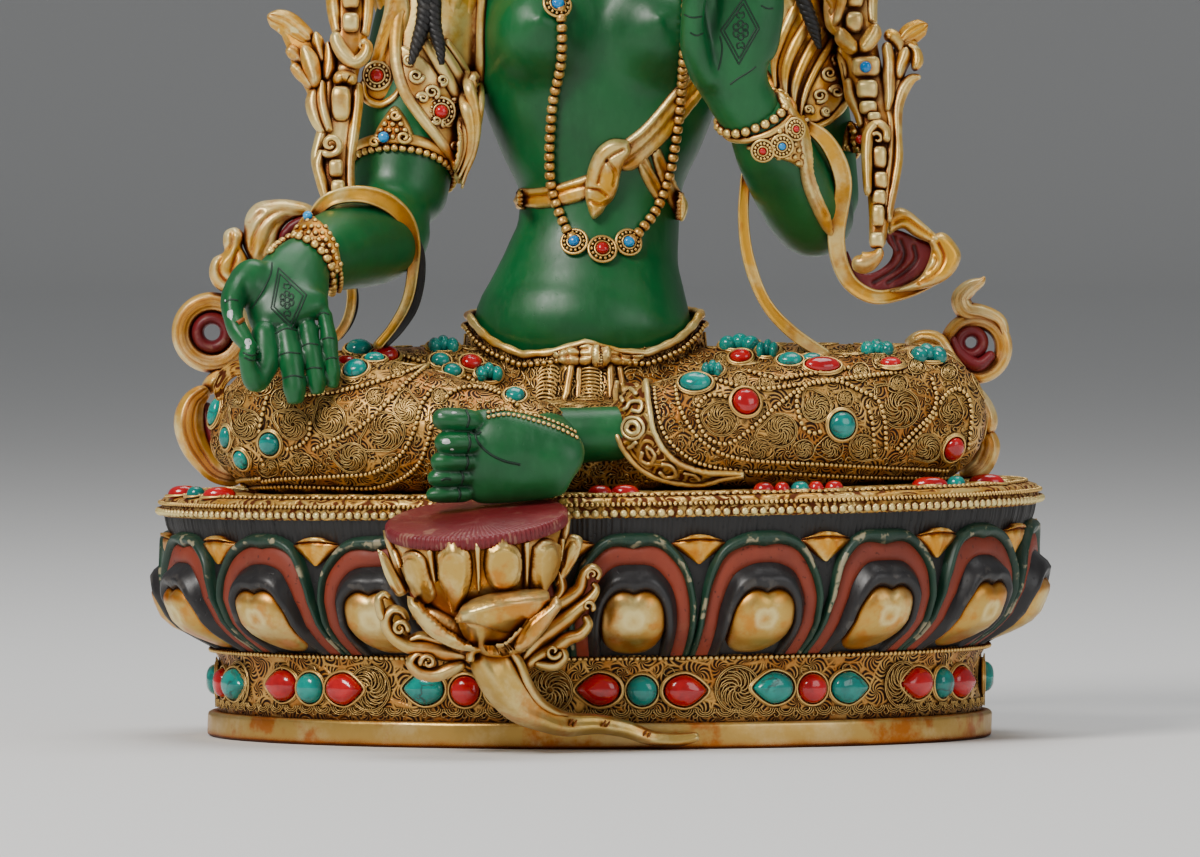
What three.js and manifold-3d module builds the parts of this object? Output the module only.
// A seated Green Tara of about 21 cm, cast and painted, on an oval lotus plinth set with stones.
// Millimetres, +Z up, the front towards -Y. The origin is the centre of the plinth's underside.
// Right and left in names are the figure's own: her right side lies towards -X.

import * as THREE from "three";
import { mergeVertices } from "three/addons/utils/BufferGeometryUtils.js";
import Module from "manifold-3d";

const wasm = await Module();
wasm.setup();

// Driving dimensions of the plinth
const PLINTH_LENGTH = 154.8; // over the bellies of the petals
const PLINTH_DEPTH = 111.4;
const PLINTH_HEIGHT = 42; // to the top of the plate that she sits on
const FOOT_PLATE_HEIGHT = 4.4;
const FOOT_PLATE_LENGTH = 133.4;
const DRUM_HEIGHT = 10; // the filigree wall above the foot plate
const DRUM_LENGTH = 130.4;
const TOP_PLATE_THICKNESS = 3.4;
const TOP_PLATE_LENGTH = 151.4;
const BAND_LENGTH = 148; // the black band under the top plate
const EDGE_ROUNDING = 0.7;
const BEAD_ROW = 1.1; // height of the bead row between drum and petals
const PETAL_COUNT = 18;
const PETAL_SHIFT = 0.25; // the first crest stands this share of a petal beyond the middle of the front
const PETAL_DEPTH = 6.4; // from the groove to the crest
const ARCH_RISE = 0.14; // how far a petal's tip stands above the groove, as a share of its height
const SPANS_PER_PETAL = 4; // flat faces across each petal
const BAND_HEIGHT = 2.6; // of the black band that shows between petals and top plate
const LEAN = 0.016; // the plinth was cast a little higher at her left end

// Driving dimensions of the stones
const ROUND_STONE = 5.2;
const DROP_LENGTH = 7.2;
const DROP_WIDTH = 5.6;
const STONE_RISE = 0.3; // height of a stone as a share of its width
const STONE_TRIPLES = 7; // sets of drop, round stone and drop on the drum's front and ends
const TRIPLE_PITCH = 31.5;
const TRIPLE_START = 7.4; // the middle set stands this far from the centre line
const STONE_SPACING = 7.8;
const GAP = 0.3; // between pieces that touch

// Driving dimensions of the small lotus that carries her right foot
const DISC_DIAMETER = 30;
const DISC_THICKNESS = 2.4;
const DISC_PITCH = 11; // degrees that it tips to the front
const DISC_ROLL = 4; // degrees that it tips to her right
const DISC_FROM_PETALS = 8.6; // its centre stands this far in front of the petals
const DISC_X = -20.4;
const DISC_BELOW_SEAT = 2.4;
const BUD_HEIGHT = 18.6;
const BUD_PETALS = 5; // round the front half
const STEM_THICKNESS = 7.4;
const STEM_TIP_X = 15.6;

// The figure is drawn on a grid from the seat to the tip of her crown, as such images are
const FIGURE_HEIGHT = 172;
const GRID_ROWS = 172;
const cell = FIGURE_HEIGHT / GRID_ROWS;

const depthShare = PLINTH_DEPTH / PLINTH_LENGTH;
const seat = PLINTH_HEIGHT + GAP;

function material(color, roughness, metalness) {
  return new THREE.MeshStandardMaterial({ color, roughness, metalness });
}

// Solids from three.js geometries, with shared vertices merged and faces turned out

function stripped(geometry) {
  const bare = geometry.clone();
  for (const name of Object.keys(bare.attributes)) {
    if (name !== "position") bare.deleteAttribute(name);
  }
  return bare;
}

function solidOf(geometry) {
  const merged = mergeVertices(stripped(geometry), 1e-4);
  const p = merged.attributes.position.array;
  const index = merged.index.array;
  const kept = [];
  let volume = 0;
  const corner = (i) => new THREE.Vector3(p[3 * i], p[3 * i + 1], p[3 * i + 2]);
  for (let i = 0; i < index.length; i += 3) {
    const [a, b, c] = [index[i], index[i + 1], index[i + 2]];
    if (a === b || b === c || c === a) continue;
    kept.push(a, b, c);
    volume += corner(a).dot(corner(b).cross(corner(c)));
  }
  if (volume < 0) kept.reverse();
  return new wasm.Manifold(
    new wasm.Mesh({ numProp: 3, vertProperties: new Float32Array(p), triVerts: new Uint32Array(kept) }),
  );
}

const distinct = ([r, z], i, all) => i === 0 || r !== all[i - 1][0] || z !== all[i - 1][1];
const largest = (solid) => solid.decompose().reduce((a, b) => (a.volume() > b.volume() ? a : b));
const join = (solids) => solids.reduce((whole, solid) => whole.add(solid));

// The lean rises with the plinth, holds at the seat and dies out above her waist
function leaned(x, z) {
  const rise = z < seat ? z / seat : Math.max(0, 1 - (z - seat) / (0.27 * FIGURE_HEIGHT));
  return z + LEAN * x * rise;
}

function meshOf(name, solid, look) {
  const { vertProperties, triVerts, numProp } = solid.getMesh();
  const positions = new Float32Array((vertProperties.length / numProp) * 3);
  for (let i = 0; i < positions.length / 3; i++) {
    const [x, y, z] = [0, 1, 2].map((k) => vertProperties[i * numProp + k]);
    positions.set([x, y, leaned(x, z)], 3 * i);
  }
  const geometry = new THREE.BufferGeometry();
  geometry.setAttribute("position", new THREE.BufferAttribute(positions, 3));
  geometry.setIndex([...triVerts]);
  geometry.computeVertexNormals();
  const mesh = new THREE.Mesh(geometry, look);
  mesh.name = name;
  return mesh;
}

// A point of the figure's grid: across, from front to back, and up from the seat
const at = (x, y, z) => new THREE.Vector3(x * cell, y * cell, seat + z * cell);

// A closed form along a smooth curve. Each key is a point, half width and half thickness, and
// upward says which way the thickness points. The ends are round.
function sweep(keys, sides, steps, upward = new THREE.Vector3(0, 0, 1)) {
  const path = new THREE.CatmullRomCurve3(keys.map(([point]) => point), false, "centripetal");
  const halves = keys.map(([, half, thick]) => new THREE.Vector3(half, thick ?? half, 0));
  const sizes = new THREE.CatmullRomCurve3(halves);
  const length = path.getLength();
  const geometry = new THREE.SphereGeometry(1, sides, steps);
  const { position, uv } = geometry.attributes;
  for (let i = 0; i < position.count; i++) {
    const ring = 1 - uv.getY(i);
    const even = 0.55 * ring + 0.45 * (0.5 - 0.5 * Math.cos(Math.PI * ring));
    const centre = path.getPoint(even);
    const along = path.getTangent(even);
    const size = sizes.getPoint(even);
    const across = new THREE.Vector3().crossVectors(along, upward).normalize();
    const over = new THREE.Vector3().crossVectors(across, along).normalize();
    const fromEnd = Math.min(even, 1 - even) * length;
    const cap = Math.min(1, fromEnd / Math.min(size.x, size.y, length / 2));
    const round = ring === 0 || ring === 1 ? 0 : Math.sqrt(1 - (1 - cap) ** 2);
    const turn = 2 * Math.PI * Math.round(uv.getX(i) * sides) / sides;
    centre.addScaledVector(across, size.x * round * Math.cos(turn));
    centre.addScaledVector(over, size.y * round * Math.sin(turn));
    position.setXYZ(i, centre.x, centre.y, centre.z);
  }
  return solidOf(geometry);
}

// The same on her grid, with the keys as plain rows of x, y, z, half width and half thickness
const limb = (rows, sides = 7, steps = 6, upward) =>
  sweep(
    rows.map(([x, y, z, half, thick = half]) => [at(x, y, z), half * cell, thick * cell]),
    sides,
    steps,
    upward,
  );

function ball(centre, radii, sides = 10, rows = 7, turn = [0, 0, 0]) {
  const geometry = new THREE.SphereGeometry(1, sides, rows).rotateX(Math.PI / 2).scale(...radii);
  geometry.rotateX(turn[0]).rotateY(turn[1]).rotateZ(turn[2]);
  return solidOf(geometry.translate(centre.x, centre.y, centre.z));
}

const lump = (x, y, z, rx, ry, rz, sides, rows, turn) =>
  ball(at(x, y, z), [rx * cell, ry * cell, rz * cell], sides, rows, turn);

// Plinth

const footTop = FOOT_PLATE_HEIGHT;
const drumTop = footTop + DRUM_HEIGHT;
const petalFoot = drumTop + BEAD_ROW;
const plateUnder = PLINTH_HEIGHT - TOP_PLATE_THICKNESS;
const petalTop = plateUnder - BAND_HEIGHT;

function oval(profile, segments) {
  const geometry = new THREE.LatheGeometry(profile.map(([r, z]) => new THREE.Vector2(r, z)), segments);
  return solidOf(geometry.rotateX(Math.PI / 2).scale(1, depthShare, 1));
}

function plinthBody() {
  const [foot, drum, band] = [FOOT_PLATE_LENGTH, DRUM_LENGTH, BAND_LENGTH].map((length) => length / 2);
  const plate = TOP_PLATE_LENGTH / 2;
  const core = PLINTH_LENGTH / 2 - PETAL_DEPTH;
  return oval(
    [
      [0, 0],
      [foot - EDGE_ROUNDING, 0],
      [foot, EDGE_ROUNDING],
      [foot, footTop - EDGE_ROUNDING],
      [foot - EDGE_ROUNDING, footTop],
      [drum, footTop],
      [drum, drumTop],
      [drum + 0.8, drumTop + BEAD_ROW / 2],
      [core - 2, petalFoot + 3],
      [band - 2, petalTop - 1],
      [band, plateUnder],
      [plate - EDGE_ROUNDING, plateUnder],
      [plate, plateUnder + EDGE_ROUNDING],
      [plate, PLINTH_HEIGHT - EDGE_ROUNDING],
      [plate - EDGE_ROUNDING, PLINTH_HEIGHT],
      [0, PLINTH_HEIGHT],
    ],
    30,
  );
}

// Places at equal steps of arc round an oval, from the middle of its front, towards her left
function ovalPlaces(half, distances) {
  const curve = new THREE.EllipseCurve(0, 0, half, half * depthShare, -Math.PI / 2, 1.5 * Math.PI);
  curve.arcLengthDivisions = 720;
  const whole = curve.getLength();
  return distances.map((distance) => {
    const share = (((distance / whole) % 1) + 1) % 1;
    const point = curve.getPointAt(share);
    const tangent = curve.getTangentAt(share);
    return { x: point.x, y: point.y, facing: Math.atan2(-tangent.x, tangent.y), whole };
  });
}

// The ring of petals: a lathe whose radius swells at each petal and falls back in the grooves
function petals() {
  const count = PETAL_COUNT * SPANS_PER_PETAL;
  const rows = [
    { up: 0, swell: 0.3 },
    { up: 0.2, swell: 0.86 },
    { up: 0.45, swell: 1 },
    { up: 0.8, swell: 0.82 },
    { up: 1, swell: 0.3 },
  ];
  const core = PLINTH_LENGTH / 2 - PETAL_DEPTH;
  const height = petalTop - petalFoot;
  const inner = core - PETAL_DEPTH;
  const profile = [[inner, 0], ...rows.map(({ up }) => [core, up * height]), [inner, height], [inner, 0]];
  const points = profile.map(([r, z]) => new THREE.Vector2(r, z));
  const geometry = new THREE.LatheGeometry(points, count);
  const { position, uv } = geometry.attributes;
  const coreDeep = PLINTH_DEPTH / 2 - PETAL_DEPTH;
  const curve = new THREE.EllipseCurve(0, 0, core, coreDeep, -Math.PI / 2, 1.5 * Math.PI);
  curve.arcLengthDivisions = 720;
  for (let i = 0; i < position.count; i++) {
    const step = Math.round(uv.getX(i) * count) % count;
    const row = i % points.length;
    const share = (step / count - (0.5 - PETAL_SHIFT) / PETAL_COUNT + 1) % 1;
    const place = curve.getPointAt(share);
    const phase = (step % SPANS_PER_PETAL) / SPANS_PER_PETAL;
    const fromCrest = Math.abs(2 * phase - 1);
    const { x, y } = place;
    const outward = new THREE.Vector2(x * depthShare, y / depthShare).normalize();
    const isFace = row > 0 && row <= rows.length;
    const { up, swell } = isFace ? rows[row - 1] : { up: row === rows.length + 1 ? 1 : 0, swell: 0 };
    const lobe = 1 - 0.7 * fromCrest ** 3;
    const out = isFace ? PETAL_DEPTH * swell * lobe : -PETAL_DEPTH;
    const arch = up > 0.7 ? height * ARCH_RISE * (0.5 - fromCrest ** 2) : 0;
    position.setXYZ(i, x + outward.x * out, y + outward.y * out, petalFoot + up * height + arch);
  }
  return solidOf(geometry);
}

const plinth = join([plinthBody(), petals()]);

// The small lotus under her right foot, with its stem down the front of the plinth

const discCentre = new THREE.Vector3(
  DISC_X,
  -PLINTH_DEPTH / 2 - DISC_FROM_PETALS,
  PLINTH_HEIGHT - DISC_BELOW_SEAT,
);
const discTurn = new THREE.Euler(
  THREE.MathUtils.degToRad(DISC_PITCH),
  THREE.MathUtils.degToRad(-DISC_ROLL),
  0,
);

function onDisc(geometry) {
  const turned = new THREE.Matrix4().makeRotationFromEuler(discTurn);
  return geometry.applyMatrix4(turned).translate(...discCentre.toArray());
}

function disc(extra = 0) {
  const [radius, low, high] = [DISC_DIAMETER / 2 + extra, -DISC_THICKNESS - extra, extra];
  const outline = [[0, low], [radius, low], [radius, high], [0, high]];
  const geometry = new THREE.LatheGeometry(outline.map(([r, z]) => new THREE.Vector2(r, z)), 14);
  return solidOf(onDisc(geometry.rotateX(Math.PI / 2)));
}

function footLotus() {
  const radius = DISC_DIAMETER / 2;
  const bowl = [[0, 0], [0.32, 0.02], [0.78, 0.3], [0.97, 0.62], [0.93, 1], [0, 1]];
  const bud = new THREE.LatheGeometry(
    bowl.map(([r, z]) => new THREE.Vector2(r * radius, -DISC_THICKNESS / 2 - BUD_HEIGHT * (1 - z))),
    10,
  );
  const parts = [disc(), solidOf(onDisc(bud.rotateX(Math.PI / 2)))];
  for (let i = 0; i < BUD_PETALS; i++) {
    const around = Math.PI + (Math.PI * (i + 0.5)) / BUD_PETALS;
    const petal = new THREE.SphereGeometry(1, 6, 4).rotateX(Math.PI / 2);
    petal.scale(2.2, 0.33 * radius, 0.36 * BUD_HEIGHT).rotateY(0.16);
    petal.translate(0.93 * radius, 0, -0.42 * BUD_HEIGHT).rotateZ(around);
    parts.push(solidOf(onDisc(petal)));
  }
  const { x, y, z } = discCentre;
  const low = z - BUD_HEIGHT;
  const half = STEM_THICKNESS / 2;
  const face = -(FOOT_PLATE_LENGTH / 2) * depthShare;
  const key = (px, py, pz, r) => [new THREE.Vector3(px, py, pz), r, r];
  parts.push(
    sweep(
      [
        key(x - 0.5, y + 1, low + 4, half * 1.3),
        key(x + 1, y + 3, low - 4, half * 1.25),
        key(x + 5, y + 6, low * 0.5, half),
        key(x + 0.4 * (STEM_TIP_X - x), face - GAP - half, low * 0.24, half * 0.8),
        key(x + 0.7 * (STEM_TIP_X - x), face - GAP - half * 0.6, 2.4, half * 0.55),
        key(STEM_TIP_X, face - GAP - half * 0.5, 2.2, half * 0.45),
      ],
      6,
      8,
      new THREE.Vector3(0, 1, 0),
    ),
  );
  // Leaf scrolls on both sides of the bud
  const curl = (rows) => sweep(rows.map(([dx, dy, dz, r]) => key(x + dx, y + dy, z + dz, r)), 5, 5);
  parts.push(
    curl(
      [[-6, 0, -20, 3], [-12.4, -2, -21.4, 2.8], [-16.6, -2, -17, 2.6],
        [-15, -2, -12, 2.2], [-12, -2, -13, 1.5]],
    ),
    curl([[3, 0, -20, 3], [9, -1, -21, 3.8], [14.4, -1, -17, 3.8], [17.6, 0, -12, 3], [20, 0, -8, 1.4]]),
    curl([[-2, 2, -21, 2.4], [-6, 1, -25, 2.4], [-10.5, 1, -24.6, 2], [-11.5, 1, -21.8, 1.4]]),
  );
  const sides = 28;
  const clear = (length) => (length / 2 + GAP) / Math.cos(Math.PI / sides);
  const wall = clear(Math.max(PLINTH_LENGTH, BAND_LENGTH));
  const drum = clear(DRUM_LENGTH + 1.6);
  const foot = clear(FOOT_PLATE_LENGTH);
  const plate = clear(TOP_PLATE_LENGTH);
  const [step, under, ledge] = [footTop + GAP, petalFoot - GAP, plateUnder - GAP];
  const over = 1.2 * PLINTH_HEIGHT;
  const walls = [[foot, -1], [foot, step], [drum, step], [drum, under], [wall, under], [wall, ledge]];
  const above = Math.max(wall, plate);
  const outline = [[0, -1], ...walls, [above, ledge], [above, over], [0, over]];
  const keepOut = oval(outline.filter(distinct), sides);
  return join(parts).subtract(keepOut);
}

// The figure

function torso() {
  const rows = [
    [-1, 10, 10, 23, 17],
    [-1, 10, 22, 21.5, 15.5],
    [-1, 11, 29, 20, 14.2],
    [-0.6, 11.5, 35, 16.8, 12.2],
    [0, 12, 42, 13.6, 10.4],
    [0, 12.5, 49, 13.7, 10.2],
    [0, 12.5, 57, 17, 11.2],
    [0, 12, 65, 20, 12.2],
    [0, 12, 74, 21.2, 12.8],
    [0, 12.3, 84, 22, 12.4],
    [0, 13, 93, 21, 11],
    [0, 13, 99, 13, 9],
    [0, 12.6, 103, 7, 7],
    [0, 12.2, 112, 6.2, 6.4],
  ];
  const parts = [limb(rows, 9, 11, new THREE.Vector3(0, -1, 0))];
  for (const side of [-1, 1]) {
    parts.push(lump(side * 10, 3.5, 77.5, 8.8, 8.6, 8.6, 7, 5));
    parts.push(limb(
      [[side * 10, 13, 94, 9, 8.5], [side * 19, 13, 93, 9, 8.5], [side * 26, 13, 88, 8.8, 8.8]],
      6, 4,
    ));
  }
  return parts;
}

function arms() {
  return [
    limb([[-26, 13, 92, 9], [-31, 10.5, 74, 8.7], [-33.5, 7.5, 56, 8.7], [-35, 4, 44, 7.8]], 7, 5),
    limb([[-34.5, 6, 45, 7.7], [-38, -4, 42.5, 7.8], [-44.6, -17, 40.4, 6.8], [-50, -28, 38, 5.1]], 7, 5),
    limb([[26, 13, 92, 9], [32, 12, 74, 8.6], [35.5, 9, 57, 8], [36.6, 6, 42, 7.6]], 7, 5),
    limb([[37.6, 7, 41, 7.4], [33.6, -4, 47.5, 8], [28.8, -13.6, 57, 6.6], [25, -19, 66, 4.9]], 7, 5),
  ];
}

// A hand as palm and fingers, each finger a row of root, joint and tip
function hand(palm, fingers) {
  const front = new THREE.Vector3(0, -1, 0);
  const tapered = fingers.map((points) => points.map((p, i) => [...p, 1.9 - 0.22 * i]));
  return [limb(palm, 6, 4, front), ...tapered.map((rows) => limb(rows, 5, 3, front))];
}

function hands() {
  const lowered = hand(
    [[-49.4, -26.6, 40.6, 5, 4.2], [-54, -32, 33.4, 7.8, 3.4], [-51.8, -35.5, 24.6, 6.6, 2.6]],
    [
      [[-55.4, -35, 28], [-57.4, -39, 21.6], [-56.4, -40.4, 16.6]],
      [[-52.4, -35.4, 28], [-51.5, -38.8, 20.6], [-50.4, -38.6, 14.2]],
      [[-49.2, -35.4, 28], [-48.2, -38.2, 21.8], [-47.2, -37.8, 16.4]],
      [[-48, -33.6, 31.6], [-45.6, -36.6, 23.6], [-44.2, -36.4, 17.6]],
      [[-59, -32, 34], [-61, -36, 27.6], [-57.6, -39.6, 21]],
    ],
  );
  const raised = hand(
    [[25, -19, 65, 4.8, 4], [24.2, -20.5, 74, 7, 3.2], [24, -22, 85, 6.6, 2.5]],
    [
      [[19.8, -22.2, 81], [19, -23.4, 91], [18.8, -23, 99]],
      [[22.8, -22, 82], [22.6, -23.6, 93], [22.6, -23.2, 102]],
      [[26, -22, 81], [25.4, -27.4, 89], [21.4, -29, 90.4]],
      [[29, -21.4, 79], [30, -22.6, 88], [30.8, -22.2, 94.5]],
      [[18.4, -20, 74], [15.6, -25, 81], [18.6, -28.6, 87.6]],
    ],
  );
  return [...lowered, ...raised];
}

function legs() {
  return [
    limb(
      [[-9, 8, 12, 13, 12], [-34, 2, 12, 13, 12], [-57, -9, 11.4, 12, 11.6], [-64, -14, 11, 11, 10.6]],
      8, 5,
    ),
    limb(
      [[-64, -12, 10.6, 11, 10.6], [-52, -19, 10.8, 12, 11.4], [-36, -30, 11, 11, 11.2],
        [-18, -39, 9, 8.6, 8.6], [-5, -43, 8.4, 6, 6.4]],
      8, 7,
    ),
    limb(
      [[9, 8, 12, 13, 12], [34, 3, 12, 13, 12], [54, -6, 12, 12, 11.8], [62.6, -9, 12, 10.6, 10.8]],
      8, 5,
    ),
    limb(
      [[62.6, -8, 11.4, 10.6, 10.8], [51, -17, 11.4, 11.8, 11.6], [36, -28, 11, 11, 11.4],
        [18, -36, 10.4, 9.6, 10], [2, -38.5, 10, 6, 6.6]],
      8, 7,
    ),
    limb([[8, -38.5, 10, 4.4, 4.6], [-6, -39, 9.6, 4.4, 4.6], [-22, -37, 7, 4.2, 4.6]], 6, 3),
    lump(0, -12, 5, 32, 27, 10, 9, 4),
    lump(-1, 12, 8, 27, 19, 10, 9, 4),
  ];
}

// Her right foot rests on the disc with its sole to the front, so it is placed from the disc
function foot() {
  const { y, z } = discCentre;
  const length = 24 * cell;
  const heelX = DISC_X + 0.76 * length;
  const behind = 5.4; // from the disc's centre to the middle of the sole
  const slope = (degrees) => Math.tan(THREE.MathUtils.degToRad(degrees));
  const ground = (x) => z + (x - DISC_X) * slope(DISC_ROLL) + behind * slope(DISC_PITCH);
  const key = (share, up, wide, thick) => {
    const x = heelX - share * length;
    return [new THREE.Vector3(x, y + behind, ground(x) + up * cell), wide * cell, thick * cell];
  };
  const toFront = new THREE.Vector3(0, -1, 0);
  const parts = [
    sweep(
      [key(-0.02, 6, 5.2, 3.8), key(0.3, 6.6, 6.4, 3.8), key(0.6, 7.2, 7.2, 3.2),
        key(0.93, 7.6, 7.8, 3)],
      7, 5, toFront,
    ),
    sweep(
      [
        [new THREE.Vector3(heelX - 0.16 * length, y + 7, ground(heelX) + 6.6 * cell), 5 * cell, 5.4 * cell],
        [at(-5.4, -46, 8.8), 5.4 * cell, 6 * cell],
        [at(-9, -40, 9), 6 * cell, 6.4 * cell],
      ],
      6,
      3,
    ),
  ];
  const toes = [
    { up: 14.3, reach: 1.12, thick: 2 },
    { up: 10.4, reach: 1.13, thick: 1.9 },
    { up: 7.2, reach: 1.14, thick: 1.7 },
    { up: 4.6, reach: 1.14, thick: 1.5 },
    { up: 2, reach: 1.12, thick: 1.5 },
  ];
  for (const { up, reach, thick } of toes) {
    parts.push(sweep(
      [key(0.7, 7.4 + 0.7 * (up - 7.4), thick, 2.1), key(reach, up, thick, 2.1)],
      5, 3, toFront,
    ));
  }
  return parts;
}

// The wide hem of the skirt at her waist, low in front and high at the sides
function waistSkirt() {
  const geometry = new THREE.SphereGeometry(1, 14, 4).rotateX(Math.PI / 2);
  const { position } = geometry.attributes;
  for (let i = 0; i < position.count; i++) {
    const [x, y, z] = [position.getX(i), position.getY(i), position.getZ(i)];
    const front = Math.max(0, -y);
    const high = 30 - 6.4 * front * front;
    const spread = Math.hypot(x, y) > 0.3 ? 1 : 0.6;
    const place = at(
      -1 + x * 22.6 * spread,
      10 + y * 17.4 * spread - (z < 0 ? 3 * front : 0),
      z > 0 ? high * Math.min(1, z * 3) : 6,
    );
    position.setXYZ(i, place.x, place.y, place.z);
  }
  return solidOf(geometry);
}

function cloth() {
  const side = new THREE.Vector3(0, -1, 0);
  return [
    waistSkirt(),
    // shawl over both shoulders and upper arms
    limb(
      [[-19, 14, 97, 8, 7], [-27, 13, 90, 10, 10], [-31.5, 11, 75, 9.8, 9.8], [-33, 9.5, 66, 9.4, 9.4]],
      7, 4,
    ),
    limb([[19, 14, 97, 8, 7], [27, 13, 90, 10, 10], [32.5, 12.4, 75, 9.6, 9.6], [35, 11, 64, 9, 9]], 7, 4),
    // sash from her left breast to her right hip
    limb(
      [[16, 0, 68, 1.5, 3.2], [8, -0.6, 60, 1.6, 3.6], [0, 0.6, 52, 2.2, 4],
        [-9, 4, 48, 1.8, 2.6], [-14, 12, 48, 1.4, 2.4]],
      4, 5,
    ),
    // scarf over her right forearm
    limb([[-46, -15, 49, 1.2, 2.6], [-40, -13, 50.5, 1.3, 3], [-34, -7, 47, 1.3, 3], [-30.5, -5, 40, 1.3, 3],
      [-31, -6, 33, 1.3, 2.8], [-36.5, -8, 26, 1.2, 2.4], [-41, -2, 20, 1.2, 2]], 4, 9, side),
    limb(
      [[-47, -12, 47, 1.2, 2.2], [-45, -6, 38, 1.2, 2.2], [-43, -3, 28, 1.2, 2], [-40, -1, 22, 1.2, 2]],
      4, 4, side,
    ),
    // scarf over her left forearm, with its wide fold
    limb([[27, -17, 67, 1.6, 2.4], [32, -17, 61, 1.8, 2.6], [37, -11, 53, 2, 2.8], [39.6, -7, 44, 2, 2.8],
      [44, -5, 35, 1.8, 3], [53, -3, 33, 1.8, 3.4], [60, -1, 38, 1.2, 2]], 4, 8, side),
    limb([[38, 3, 46, 2.6, 4], [48, 2, 44, 2.6, 5], [56, 0, 42, 2.4, 4.4], [61, -1, 40, 1, 2]], 5, 5, side),
    limb(
      [[24.5, -8, 62, 1.2, 1.2], [26.4, -7, 46, 1.3, 1.4],
        [31, -7, 34, 1.3, 1.4], [38, -7, 24, 1.3, 1.6]],
      4, 6, side,
    ),
  ];
}

// A scarf end that stands on the plate beside a knee: a lobe below, a ring above it and a link to the knee
function scarfEnd(side, ring) {
  const [x, z, radius] = ring;
  const hoop = new THREE.TorusGeometry(radius * 0.64, radius * 0.36, 4, 10);
  hoop.rotateX(Math.PI / 2).scale(1, 1.1, 1);
  const centre = at(x, 8, z);
  const front = new THREE.Vector3(0, -1, 0);
  return [
    solidOf(hoop.scale(cell, cell, cell).translate(centre.x, centre.y, centre.z)),
    lump(x + side, 4.4, 9.5, 6.4, 4.4, 10.4, 6, 4, [0, side * 0.1, 0]),
    lump(x - side * 9, 2, 10, 9, 7, 10, 6, 4),
    limb(
      [[x - side * 3.6, 7, z + 1, 2.4, 2.6], [x - side * 11, 5, z - 1, 2.8, 4],
        [x - side * 19, 3, z - 8, 3, 4.6]],
      5, 4, front,
    ),
  ];
}

// Above the right ring the scarf folds into two lobes, above the left one it ends in a flame tip
function scarfTips() {
  const front = new THREE.Vector3(0, -1, 0);
  return [
    limb(
      [[-62, 7, 27, 3.6, 2.6], [-64.4, 8, 35, 3, 2.4], [-62.6, 8, 41.6, 2.6, 2.2],
        [-58, 8, 43, 3.4, 2.6]],
      5, 5, front,
    ),
    lump(-54.4, 8, 44, 6.2, 3, 5.6, 8, 4, [0, 0.3, 0]),
    limb([[-52, 7, 41, 3.4, 2.4], [-50, 5, 33, 3, 2.4], [-48, 2, 20, 3, 2.4]], 5, 4, front),
    limb(
      [[57.6, 7, 16.4, 3.4, 2.6], [60.6, 8, 22.4, 3, 2.4], [60.2, 8, 30.4, 3.8, 2.2],
        [64, 8, 35.6, 0.8, 1]],
      5, 5, front,
    ),
  ];
}

// Head with long ears, hair swept up to a tall knot, a five-leaved crown and locks on the shoulders
function head() {
  const parts = [
    lump(0, 10.8, 121, 9.2, 10.6, 12.2, 10, 7),
    lump(0, 5.4, 115.6, 5.6, 5.6, 5.6, 6, 4),
    limb(
      [[0, 2, 125, 1.2, 1.4], [0, 0.2, 120.4, 1.4, 1.6], [0, 0, 118, 1.8, 1.5]],
      5, 3, new THREE.Vector3(0, -1, 0),
    ),
    limb([[-2.6, 1.1, 114.4, 0.7, 0.9], [0, 0, 114.1, 1, 1.1], [2.6, 1.1, 114.4, 0.7, 0.9]], 5, 3),
    lump(0, 12.4, 126, 10.4, 11, 9, 10, 5),
    limb(
      [[0, 13, 131, 7, 7], [0, 13.4, 140, 6, 6], [0, 13.4, 149, 5.4, 5.4], [0, 13.4, 156, 3.4, 3.4]],
      6, 5, new THREE.Vector3(0, -1, 0),
    ),
    limb(
      [[0, 13.4, 155, 2.6, 2.6], [0, 13.4, 162, 2.2, 2.2], [0, 13.4, 172, 0.5, 0.5]],
      6, 3, new THREE.Vector3(0, -1, 0),
    ),
  ];
  for (const side of [-1, 1]) {
    parts.push(
      lump(side * 3.7, 1.6, 121.6, 2.2, 1.2, 1, 5, 3),
      limb(
        [[side * 9.4, 11, 124, 1.1, 2], [side * 10.2, 10.6, 118, 1.1, 1.6],
          [side * 10.6, 10.4, 110.6, 1.2, 1.8]],
        4, 4,
      ),
      lump(side * 11.2, 9.6, 109.8, 3, 1.6, 3, 6, 3),
      limb(
        [[side * 9, 16, 118, 3.4, 3], [side * 16, 15, 106, 3.2, 2.6], [side * 27, 8, 94, 2.8, 2.4],
          [side * 31, 2.6, 78, 2.6, 2.2], [side * 31.6, 1.4, 72, 1.4, 1.4]],
        4, 5,
      ),
    );
  }
  const leaves = [-1.1, -0.55, 0, 0.55, 1.1];
  for (const turn of leaves) {
    const [x, y] = [Math.sin(turn) * 10.4, 11.6 - Math.cos(turn) * 11.4];
    const tall = turn === 0 ? 11 : 9;
    parts.push(lump(x, y, 132 + tall * 0.34, 3.4, 1.3, tall, 4, 4, [0.1, 0, turn]));
  }
  const band = new THREE.TorusGeometry(10.4, 1.5, 4, 12).scale(1, 1.06, 1.2);
  const middle = at(0, 11.6, 129.6);
  parts.push(solidOf(band.scale(cell, cell, cell).translate(middle.x, middle.y, middle.z)));
  return parts;
}

// Her bead string, as a cord of bead size that lies on the body
function beadString() {
  const rows = [[-8, 2, 92], [-7.6, -4.6, 80], [-8.2, -3, 68], [-8, 1, 56], [-5.6, 2.6, 45],
    [0, 2.2, 40.6], [6, 3, 45], [9.6, 1.4, 56], [12.4, -3.6, 70], [13.6, -4.4, 80], [13, 1, 90]];
  return limb(rows.map((row) => [...row, 1]), 4, 16, new THREE.Vector3(0.1, -1, 0.1));
}

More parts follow.
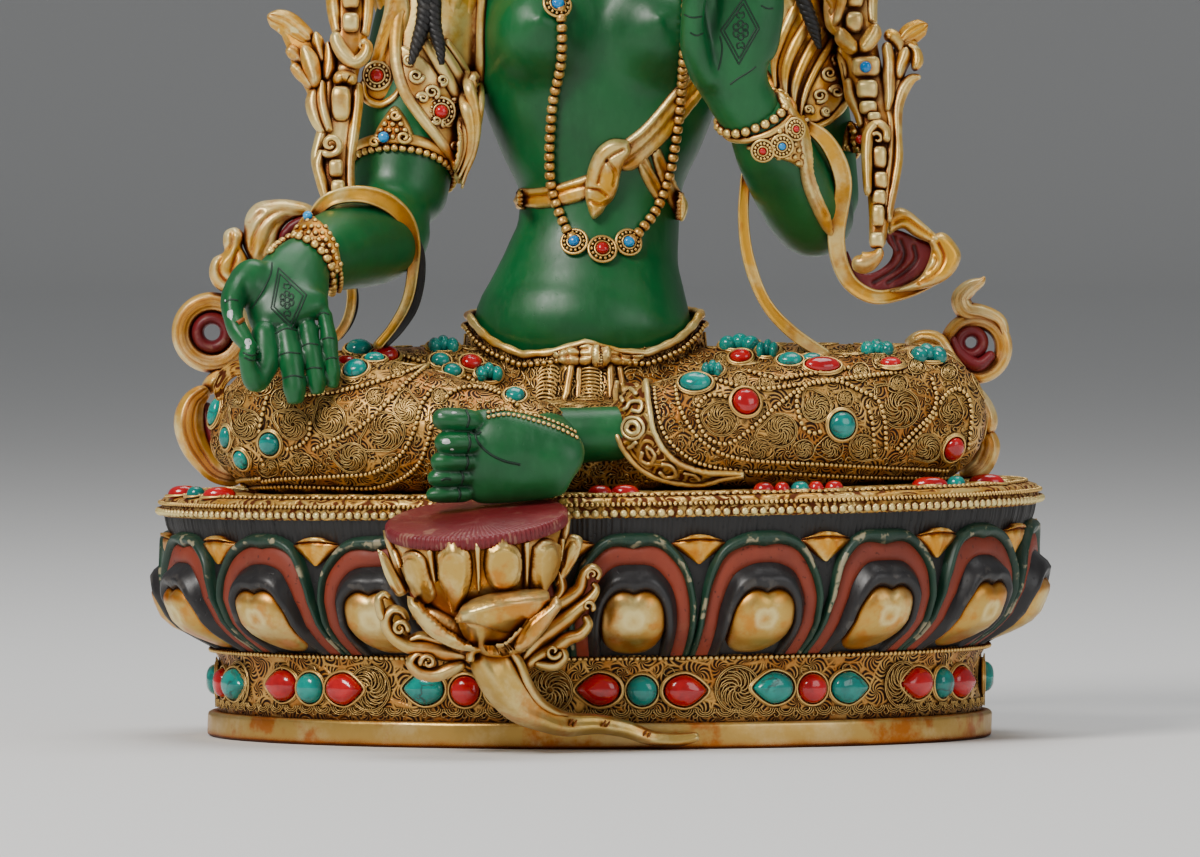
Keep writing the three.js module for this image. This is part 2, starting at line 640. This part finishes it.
function figure() {
  const whole = join([
    ...torso(),
    ...arms(),
    ...hands(),
    ...legs(),
    ...foot(),
    ...cloth(),
    ...scarfEnd(-1, [-66.4, 26.8, 6.9]),
    ...scarfEnd(1, [63.6, 24.4, 6]),
    ...scarfTips(),
    ...head(),
    beadString(),
  ]);
  const depth = 2 * PLINTH_DEPTH;
  const below = new THREE.BoxGeometry(2 * PLINTH_LENGTH, depth, seat);
  below.translate(0, depth / 2 + discCentre.y + 12, seat / 2);
  return whole.subtract(solidOf(below)).subtract(disc(GAP));
}

// A flower stalk of leaves, bud and open flower, standing on the scarf at her elbow
function stalk(side, foot, rows, bud) {
  const top = rows[rows.length - 1];
  const front = new THREE.Vector3(0, -1, 0);
  const parts = [limb([[...foot, 2.2], ...rows.map((row) => [...row, 3])], 6, 6, front)];
  for (let leaf = 0; leaf < 2; leaf++) {
    const z = 72 + 18 * leaf;
    parts.push(
      limb(
        [[side * 45, 5, z - 5, 2.6, 1.6], [side * 48.6, 4, z + 2, 2.6, 1.4],
          [side * 51, 3, z + 9, 0.6, 0.6]],
        5, 4, front,
      ),
    );
  }
  parts.push(limb(bud, 6, 4, front));
  const [x, y, z] = top;
  parts.push(lump(x, y, z + 4, 6, 5, 7, 6, 4));
  for (let petal = 0; petal < 5; petal++) {
    const turn = (2 * Math.PI * petal) / 5;
    const [dx, dy] = [Math.cos(turn), Math.sin(turn)];
    parts.push(
      limb(
        [[x + dx * 2, y + dy * 2, z, 3, 1.4], [x + dx * 8, y + dy * 6, z + 6, 3.4, 1.2],
          [x + dx * 9, y + dy * 7, z + 13, 0.8, 0.6]],
        5, 3, new THREE.Vector3(dx, dy, 0.4),
      ),
    );
  }
  return join(parts);
}

// Stones: a low dome with a flat back, round, oval or drawn out to a point at one end
function cabochon({ width, length = width, pointed = false, sides = 6 }) {
  const outline = [[0, 0], [0.5, 0], [0.44, 0.6], [0, 1]];
  const points = outline.map(([r, z]) => new THREE.Vector2(r * width, z * STONE_RISE * width));
  const dome = new THREE.LatheGeometry(points, sides);
  dome.rotateX(Math.PI / 2);
  const { position } = dome.attributes;
  for (let i = 0; i < position.count; i++) {
    const x = position.getX(i);
    const pull = Math.max(0, (2 * x) / width) ** 5 * (length - width);
    position.setX(i, pointed ? x + pull - (length - width) / 2 : (x * length) / width);
  }
  return dome;
}

// Sets a stone with its flat back on a surface that a ray meets, clear of what it covers
const ray = new THREE.Raycaster();
function heightUnder(surface, from, inward, reach) {
  ray.set(from, inward);
  const [hit] = ray.intersectObject(surface);
  return hit && hit.distance < 2 * reach ? { hit, height: reach - hit.distance } : null;
}

function setStone(name, surface, from, inward, shape, look, turn = 0) {
  ray.set(from, inward);
  const [hit] = ray.intersectObject(surface);
  const outward = hit.face.normal.clone();
  const level = Math.abs(outward.z) > 0.95 ? new THREE.Vector3(0, 1, 0) : new THREE.Vector3(0, 0, 1);
  const across = new THREE.Vector3().crossVectors(level, outward).normalize();
  const up = new THREE.Vector3().crossVectors(outward, across);
  const basis = new THREE.Matrix4().makeBasis(across, up, outward);
  basis.multiply(new THREE.Matrix4().makeRotationZ(turn));
  const dome = cabochon(shape).applyMatrix4(basis);
  let rise = 0;
  const { position } = dome.attributes;
  for (let i = 0; i < position.count; i++) {
    const start = new THREE.Vector3().fromBufferAttribute(position, i).add(hit.point);
    start.addScaledVector(outward, 6 - start.clone().sub(hit.point).dot(outward));
    const under = heightUnder(surface, start, outward.clone().negate(), 6);
    if (under) rise = Math.max(rise, under.height);
  }
  const seatPoint = hit.point.clone().addScaledVector(outward, rise + GAP);
  const mesh = new THREE.Mesh(mergeVertices(stripped(dome), 1e-4), look);
  mesh.position.copy(seatPoint);
  mesh.name = name;
  return mesh;
}

const looks = {
  plinth: material("#9a7440", 0.45, 0.5),
  figure: material("#1f6b41", 0.4, 0.05),
  gold: material("#c9a04a", 0.38, 0.7),
  red: material("#c22430", 0.25, 0),
  turquoise: material("#12887f", 0.3, 0),
};

const model = new THREE.Group();
const figureSolid = figure();
const figureMesh = meshOf("figure", figureSolid, looks.figure);
const plinthMesh = meshOf("plinth", plinth, looks.plinth);
model.add(plinthMesh, figureMesh, meshOf("foot_lotus", footLotus(), looks.gold));

const stalks = {
  right: stalk(-1, [-43.6, -9, 44], [[-44.6, -3, 60], [-44.6, 4, 82], [-45, 7, 104]],
    [[-46, 3, 66, 2, 1.8], [-50.4, 1, 72, 3.4, 2.6], [-55, -0.5, 80, 0.8, 0.8]]),
  left: stalk(1, [46.6, 1, 41], [[46.8, 1, 56], [45.6, 5, 78], [45.6, 7, 104]],
    [[47, 3, 62, 2, 1.8], [50.4, 1, 70, 3.2, 2.6], [55, -0.5, 79, 0.8, 0.8]]),
};
for (const [side, solid] of Object.entries(stalks)) {
  const outward = side === "right" ? -GAP : GAP;
  const shifts = [[0, 0, 0], [0, 0, GAP], [outward, 0, 0]];
  const clear = shifts.reduce((left, shift) => left.subtract(figureSolid.translate(shift)), solid);
  model.add(meshOf(`flower_stalk_${side}`, largest(clear), looks.gold));
}

// Stones round the drum: a round one between two drops whose points look away from it
const middle = (STONE_TRIPLES - 1) / 2;
for (let set = 0; set < STONE_TRIPLES; set++) {
  const start = TRIPLE_START + (set - middle) * TRIPLE_PITCH;
  const places = ovalPlaces(DRUM_LENGTH / 2 + 8, [-1, 0, 1].map((k) => start + k * STONE_SPACING));
  places.forEach(({ x, y, facing }, k) => {
    const outward = new THREE.Vector3(Math.cos(facing), Math.sin(facing), 0);
    const from = new THREE.Vector3(x, y, leaned(x, footTop + 0.54 * DRUM_HEIGHT));
    const isRound = k === 1;
    const shape = isRound
      ? { width: ROUND_STONE, sides: 7 }
      : { width: DROP_WIDTH, length: DROP_LENGTH, pointed: true, sides: 7 };
    const look = (set + (isRound ? 1 : 0)) % 2 ? looks.red : looks.turquoise;
    const turn = k === 0 ? Math.PI : 0;
    const name = `drum_stone_${3 * set + k + 1}`;
    model.add(setStone(name, plinthMesh, from, outward.negate(), shape, look, turn));
  });
}

// Stones on the skirt, as the front view shows them: across and up on her grid, size and colour
const skirtStones = [
  [-40.4, 22.6, 4, 4, "turquoise"], [-35.4, 19.4, 3.6, 4, "red"], [-40.9, 18.6, 3.8, 4, "turquoise"],
  [-26.8, 20.6, 3, 3, "turquoise"], [-21.6, 20.6, 3, 4.6, "red"], [-18.4, 18.6, 3.4, 3.4, "turquoise"],
  [-14.4, 15.6, 3, 3.4, "turquoise"], [-64, 12.8, 3.2, 4, "turquoise"], [-60.3, 5.6, 3.2, 4, "turquoise"],
  [-55, 8, 3.4, 3.6, "turquoise"], [15.9, 17.4, 4, 5, "turquoise"], [19.4, 19.6, 3.4, 4.4, "turquoise"],
  [24.3, 15, 4, 4, "red"], [28.4, 21.8, 3.2, 4, "turquoise"], [37.2, 20.4, 3.2, 5.4, "red"],
  [40.4, 11.2, 4.4, 4.4, "turquoise"], [46.4, 22, 3.8, 4.6, "turquoise"], [54.6, 20.4, 3.8, 4.6, "turquoise"],
  [59, 7.6, 3.2, 3.2, "red"],
];
skirtStones.forEach(([x, z, width, length, look], i) => {
  const from = at(x, -120, z);
  from.z = leaned(from.x, from.z);
  const shape = { width: width * cell, length: length * cell };
  const inward = new THREE.Vector3(0, 1, 0);
  model.add(setStone(`skirt_stone_${i + 1}`, figureMesh, from, inward, shape, looks[look]));
});

// Stones that lie on the top plate, as shares of its half length and half depth
const plateStones = [
  [-0.93, -0.2, 2.6, 4.4, "red"], [-0.9, -0.32, 2.4, 2.6, "turquoise"], [-0.845, -0.42, 2.6, 4.6, "red"],
  [0.36, -0.83, 2.4, 3, "red"], [0.4, -0.815, 2.2, 2.2, "red"], [0.44, -0.8, 2.4, 2.6, "turquoise"],
  [0.475, -0.785, 2.2, 2.2, "red"], [0.515, -0.765, 2.4, 2.6, "red"], [0.73, -0.54, 2.6, 5, "red"],
  [0.79, -0.47, 2.4, 2.6, "turquoise"], [0.86, -0.34, 2.6, 5, "red"], [0.0, -0.87, 3, 3.4, "red"],
  [0.055, -0.86, 2.6, 4, "red"],
];
plateStones.forEach(([x, y, width, length, look], i) => {
  const [px, py] = [(x * TOP_PLATE_LENGTH) / 2, (y * TOP_PLATE_LENGTH * depthShare) / 2];
  const from = new THREE.Vector3(px, py, 1.5 * PLINTH_HEIGHT);
  const shape = { width, length, sides: 5 };
  const down = new THREE.Vector3(0, 0, -1);
  model.add(setStone(`plate_stone_${i + 1}`, plinthMesh, from, down, shape, looks[look]));
});

export default model;
